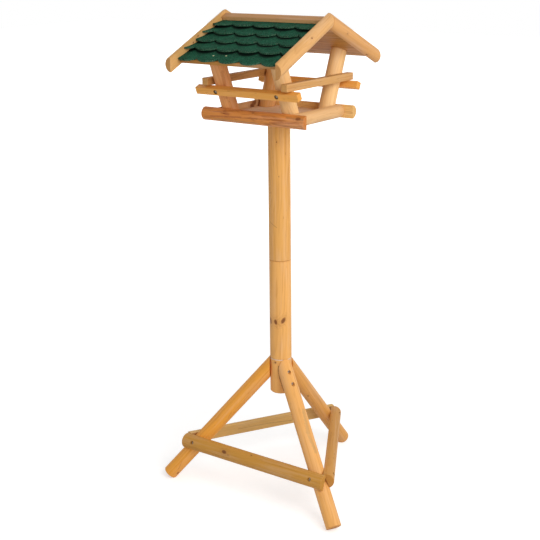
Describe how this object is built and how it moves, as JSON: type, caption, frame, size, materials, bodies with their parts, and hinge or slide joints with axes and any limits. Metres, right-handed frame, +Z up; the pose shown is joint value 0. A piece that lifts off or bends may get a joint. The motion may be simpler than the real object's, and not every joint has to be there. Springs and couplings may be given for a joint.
{
  "type": "bird table",
  "caption": "Free-standing bird table of round poles: splayed tripod with stretchers, sectional post, log-edged tray and a ridged house with a scalloped felt roof.",
  "frame": {"origin": "on the ground, in the middle of the bounding box of the whole table", "axes": "+Z up along the post, +X towards the right gable, along the ridge, -Y towards the front, where two of the three legs stand"},
  "size_m": [0.6004, 0.5846, 1.33],
  "materials": {
    "post": "satin stained pine",
    "leg": "satin stained pine",
    "stretcher": "dull stained pine",
    "tray_log": "satin reddish stained pine",
    "tray_floor": "matte stained pine",
    "roof_post": "satin stained pine",
    "rail": "satin stained pine",
    "rafter": "satin stained pine",
    "ridge_board": "satin stained pine",
    "plank": "matte stained pine",
    "felt": "rough mineral granules",
    "dowel": "bare beech",
    "screw": "dull zinc plate"
  },
  "bodies": {
    "root": {"felt_back_1": "felt", "felt_back_2": "felt", "felt_back_3": "felt", "felt_back_4": "felt", "felt_back_5": "felt", "felt_front_1": "felt", "felt_front_2": "felt", "felt_front_3": "felt", "felt_front_4": "felt", "felt_front_5": "felt", "leg_back": "leg", "leg_left": "leg", "leg_right": "leg", "leg_screw_back_lower": "screw", "leg_screw_back_upper": "screw", "leg_screw_left_lower": "screw", "leg_screw_left_upper": "screw", "leg_screw_right_lower": "screw", "leg_screw_right_upper": "screw", "post_dowel_lower": "dowel", "post_dowel_upper": "dowel", "post_middle": "post", "post_stub": "post", "post_top": "post", "rafter_back_left": "rafter", "rafter_back_right": "rafter", "rafter_front_left": "rafter", "rafter_front_right": "rafter", "rail_back": "rail", "rail_front": "rail", "rail_left": "rail", "rail_right": "rail", "ridge_board_back": "ridge_board", "ridge_board_front": "ridge_board", "roof_plank_back_1": "plank", "roof_plank_back_2": "plank", "roof_plank_back_3": "plank", "roof_plank_front_1": "plank", "roof_plank_front_2": "plank", "roof_plank_front_3": "plank", "roof_post_back_left": "roof_post", "roof_post_back_right": "roof_post", "roof_post_front_left": "roof_post", "roof_post_front_right": "roof_post", "stretcher_front": "stretcher", "stretcher_left": "stretcher", "stretcher_right": "stretcher", "stretcher_screw_front_left": "screw", "stretcher_screw_front_right": "screw", "stretcher_screw_left_back": "screw", "stretcher_screw_left_left": "screw", "stretcher_screw_right_back": "screw", "stretcher_screw_right_right": "screw", "tray_dowel": "dowel", "tray_floor": "tray_floor", "tray_log_back": "tray_log", "tray_log_front": "tray_log", "tray_log_left": "tray_log", "tray_log_right": "tray_log"}
  },
  "joints": []
}
